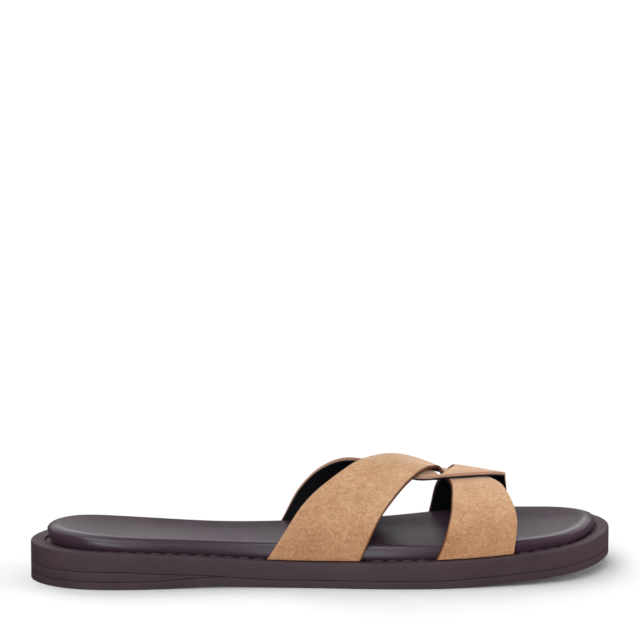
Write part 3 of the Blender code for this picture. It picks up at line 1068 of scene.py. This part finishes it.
def suede_finish():
    """Tan suede: brushed nap in soft patches, fine grain, a tint by height that is partly painted shade and
    sheen, painted shade along the inner edge.
    """
    material, shader = new_finish("tan_suede", SUEDE_TONE, 0.95)
    patches = noise(material, scale=60.0, detail=2.0)
    brushing = noise(material, scale=380.0, roughness=0.6, stretch=STROKES_STRETCH)
    mottle = noise(material, scale=800.0, detail=4.0, roughness=0.65)
    fibres = noise(material, scale=2600.0, roughness=0.6)
    colour = ramp(material, patches, SUEDE_PATCHES)
    strokes = ramp(material, brushing, SUEDE_STROKES)
    colour = tinted(material, colour, strokes, STROKES_SHARE)
    spots = ramp(material, mottle, SUEDE_SPOTS)
    colour = tinted(material, colour, spots, SPOTS_SHARE)
    grain = ramp(material, fibres, SUEDE_GRAIN)
    colour = tinted(material, colour, grain, GRAIN_SHARE)
    height = spread(material, axes_of(material, own_place(material))["Z"], *SUEDE_HEIGHTS)
    # Tint by height: partly the suede's own tone, partly painted shade low by the sole and painted sheen
    # high on the foot
    colour = tinted(material, colour, ramp(material, height, SUEDE_TONE_AND_PAINTED_LIGHT_BY_HEIGHT))
    # Painted shade: the suede is darkened in a narrow band along each strap's inner edge
    colour = tinted(material, colour, ramp(material, across_strap(material), SUEDE_PAINTED_EDGE_SHADE))
    link(material, colour, shader.inputs["Base Color"])
    set_inputs(
        shader,
        {
            "Specular IOR Level": 0.15,
            "Sheen Weight": 0.55,
            "Sheen Roughness": 0.27,
            "Sheen Tint": SHEEN_TINT,
        },
    )
    bump(material, shader, mottle, depth=0.0004, strength=0.35)
    bump(material, shader, fibres, depth=0.0003, strength=0.6)
    return material


def cut_edge_finish():
    """Cut edge of the suede: tan-brown and fibrous, with painted shade darker along the inner edge."""
    material, shader = new_finish("cut_suede_edge", EDGE_TONE, 0.85)
    fibres = noise(material, scale=2600.0, roughness=0.6)
    colour = two_tone(material, fibres, EDGE_DEEP, EDGE_PALE)
    # Painted shade: the inner half of the cut edge is darkened
    colour = tinted(material, colour, ramp(material, across_strap(material), CUT_EDGE_PAINTED_SHADE))
    link(material, colour, shader.inputs["Base Color"])
    set_inputs(shader, {"Specular IOR Level": 0.2})
    bump(material, shader, fibres, depth=0.0003, strength=0.5)
    return material


def lining_finish():
    """Smooth dark lining with a faint grain."""
    material, shader = new_finish("dark_lining", LINING_TONE, 0.48)
    grain = cells(material, scale=1500.0)
    cloud = noise(material, scale=90.0, detail=2.0)
    colour = two_tone(material, cloud, LINING_DEEP, LINING_PALE)
    link(material, colour, shader.inputs["Base Color"])
    uneven_gloss(material, shader, cloud, smooth=0.52, rough=0.64)
    set_inputs(shader, {"Specular IOR Level": 0.2})
    bump(material, shader, grain, depth=0.0001, strength=0.25)
    return material


def footbed_finish():
    """Grey-violet leather: fine pebble grain, soft uneven gloss."""
    material, shader = new_finish("footbed_leather", LEATHER_TONE, 0.45)
    cloud = noise(material, scale=45.0)
    grain = cells(material, scale=1700.0)
    pores = noise(material, scale=2600.0, detail=2.0)
    colour = two_tone(material, cloud, LEATHER_DEEP, LEATHER_PALE)
    link(material, colour, shader.inputs["Base Color"])
    uneven_gloss(material, shader, cloud, smooth=0.19, rough=0.24)
    set_inputs(shader, {"Specular IOR Level": 0.5, "Specular Tint": LEATHER_GLOSS_TINT})
    bump(material, shader, grain, depth=0.00015, strength=0.22)
    bump(material, shader, pores, depth=0.00008, strength=0.2)
    return material


def rubber_finish(name, tint):
    """Dark aubergine rubber with buffed walls."""
    material, shader = new_finish(name, RUBBER_TONE, 0.58)
    cloud = noise(material, scale=70.0)
    streaks = noise(material, scale=60.0, detail=4.0, roughness=0.6, stretch=BUFFED_STRETCH)
    dust = noise(material, scale=2200.0, roughness=0.6)
    deep = tuple(RUBBER_DEEP_SHARE * part for part in tint) + (1.0,)
    pale = tuple(RUBBER_PALE_SHARE * part for part in tint) + (1.0,)
    colour = two_tone(material, cloud, deep, pale)
    buffed = two_tone(material, streaks, grey(BUFFED_DEEP), grey(BUFFED_PALE))
    colour = tinted(material, colour, buffed, BUFFED_SHARE)
    link(material, colour, shader.inputs["Base Color"])
    uneven_gloss(material, shader, streaks, smooth=0.52, rough=0.66)
    set_inputs(shader, {"Specular IOR Level": 0.3})
    bump(material, shader, streaks, depth=0.0002, strength=0.12)
    bump(material, shader, dust, depth=0.0001, strength=0.25)
    return material


def thread_finish():
    """Waxed thread in the sole's colour."""
    material, shader = new_finish("welt_thread", THREAD_TONE, 0.6)
    twist = noise(material, scale=1500.0, detail=2.0)
    colour = two_tone(material, twist, THREAD_DEEP, THREAD_PALE)
    link(material, colour, shader.inputs["Base Color"])
    bump(material, shader, twist, depth=0.0002, strength=0.4)
    return material


# Floor, light and camera


def pale_floor():
    """Wide plain floor that takes the shoe's shadow and gives no light back to it."""
    bm = bmesh.new()
    bmesh.ops.create_grid(bm, x_segments=1, y_segments=1, size=FLOOR_SIZE / 2.0)
    mesh = bpy.data.meshes.new("floor")
    bm.to_mesh(mesh)
    bm.free()
    material, shader = new_finish("pale_floor", FLOOR_COLOUR, FLOOR_ROUGHNESS)
    glow = {"Emission Color": WHITE, "Emission Strength": FLOOR_GLOW}
    set_inputs(shader, {"Specular IOR Level": 0.0, **glow})
    mesh.materials.append(material)
    floor = bpy.data.objects.new("floor", mesh)
    floor.visible_diffuse = False
    floor.visible_glossy = False
    floor.visible_shadow = False
    bpy.context.scene.collection.objects.link(floor)


def soft_lamp(lamp, x, y, z, strength, width, in_gloss):
    """Wide soft light from a direction."""
    data = bpy.data.lights.new(lamp, "SUN")
    data.energy = strength
    data.angle = math.radians(width)
    holder = bpy.data.objects.new(lamp, data)
    holder.rotation_euler = Vector((x, y, z)).to_track_quat("Z", "Y").to_euler()
    holder.visible_glossy = in_gloss
    bpy.context.scene.collection.objects.link(holder)


def soft_light():
    """Soft lamps round the shoe, in a dim room with a pale screen behind."""
    for row in LAMPS:
        soft_lamp(**dict(zip(LAMP_COLUMNS, row)))
    world = bpy.data.worlds.new("room")
    world.use_nodes = True
    axes = axes_of(world, add_node(world, "ShaderNodeTexCoord").outputs["Generated"])
    height = spread(world, axes["Z"], -1.0, 1.0)
    across = spread(world, axes["X"], -1.0, 1.0)
    depth = spread(world, axes["Y"], -1.0, 1.0)
    room = ramp(world, height, greys(ROOM))
    behind = ramp(world, height, greys(ROOM_BEHIND))
    screen = tinted(world, behind, ramp(world, across, greys(SCREEN_ACROSS)))
    start, full = SCREEN_STARTS
    where = ramp(world, depth, greys(((start, 0.0), (full, 1.0))))
    whole = blend(world, "MIX", where, room, screen)
    link(world, whole, world.node_tree.nodes["Background"].inputs["Color"])
    bpy.context.scene.world = world


def photo_camera():
    """Camera on the outer side, low and far off, with the shoe low in the picture."""
    data = bpy.data.cameras.new("camera")
    data.sensor_width = CAMERA_SENSOR
    data.lens = CAMERA_SENSOR * CAMERA_DISTANCE / CAMERA_VIEW_WIDTH
    camera = bpy.data.objects.new("camera", data)
    level = math.cos(CAMERA_ELEVATION)
    back = Vector(
        (
            math.sin(CAMERA_AZIMUTH) * level,
            -math.cos(CAMERA_AZIMUTH) * level,
            math.sin(CAMERA_ELEVATION),
        )
    )
    camera.location = CAMERA_TARGET + back * CAMERA_DISTANCE
    tilt = math.pi / 2.0 - CAMERA_ELEVATION + CAMERA_PITCH_UP
    camera.rotation_euler = (tilt, 0.0, CAMERA_AZIMUTH + CAMERA_TURN_LEFT)
    bpy.context.scene.collection.objects.link(camera)
    bpy.context.scene.camera = camera


def build_sandal():
    """All pieces of the sandal, from the ground up."""
    outsole = rubber_finish("outsole_rubber", OUTSOLE_TINT)
    lift = rubber_finish("heel_lift_rubber", HEEL_LIFT_TINT)
    midsole = rubber_finish("midsole_rubber", MIDSOLE_TINT)
    sole_layer("outsole", ground_height, outsole_top, GROUND_ROUNDING, SEAM_ROUNDING, outsole)
    sole_layer("heel_lift", lift_bottom, lift_top, SEAM_ROUNDING, SEAM_ROUNDING, lift, LIFT_FRONT)
    channelled_midsole(midsole)
    welt_stitches(thread_finish())
    leather_footbed(footbed_finish())
    suede = suede_finish()
    cut_edge = cut_edge_finish()
    lining = lining_finish()
    strap("outer", OUTER_SIDE_STRAP, suede, cut_edge, lining)
    strap("inner", INNER_SIDE_STRAP, suede, cut_edge, lining)


build_sandal()
pale_floor()
soft_light()
photo_camera()
bpy.context.scene.view_settings.view_transform = "Standard"
